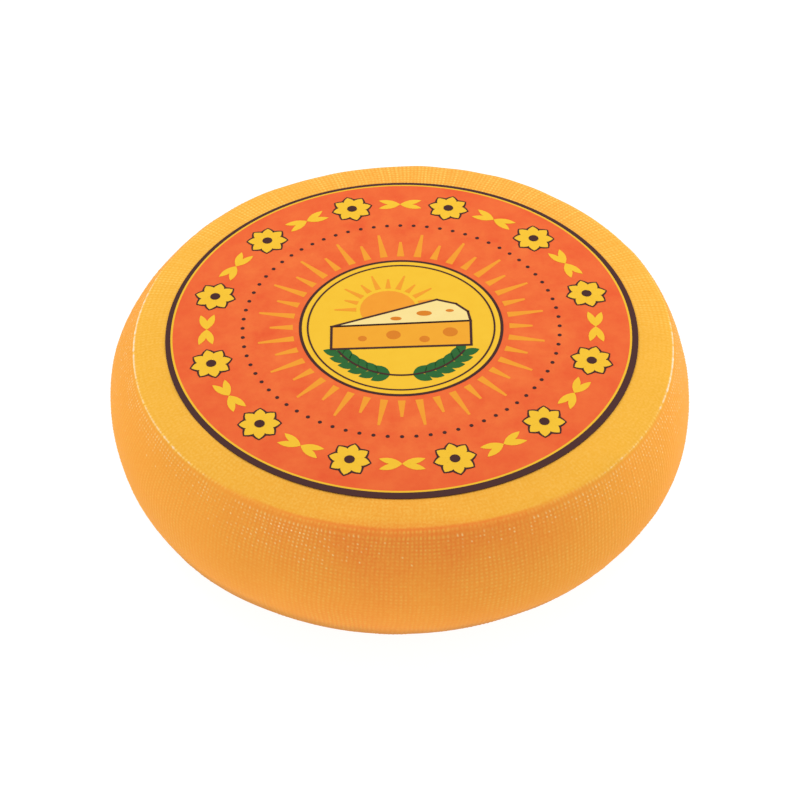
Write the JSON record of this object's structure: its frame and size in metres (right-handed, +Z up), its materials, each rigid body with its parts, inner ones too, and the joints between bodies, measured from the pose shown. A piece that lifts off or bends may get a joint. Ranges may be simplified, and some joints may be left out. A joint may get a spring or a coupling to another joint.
{
  "type": "cheese wheel",
  "caption": "Whole wheel of semi-soft cheese with a bulging cloth-marked rind, a gently domed top and a round paper label; food for a counter, board or shop display.",
  "frame": {"origin": "middle of the outline, on the flat that the wheel stands on", "axes": "+Z up through the wheel, +Y away from the viewer, +X to the viewer's right"},
  "size_m": [0.2276, 0.232, 0.0648],
  "materials": {
    "rind": "satin, orange-yellow coated rind with the imprint of a woven cloth",
    "label_paper": "matt printed paper, orange field with yellow and brown print"
  },
  "bodies": {
    "root": {"cheese_wheel": "rind", "paper_label": "label_paper"}
  },
  "joints": []
}
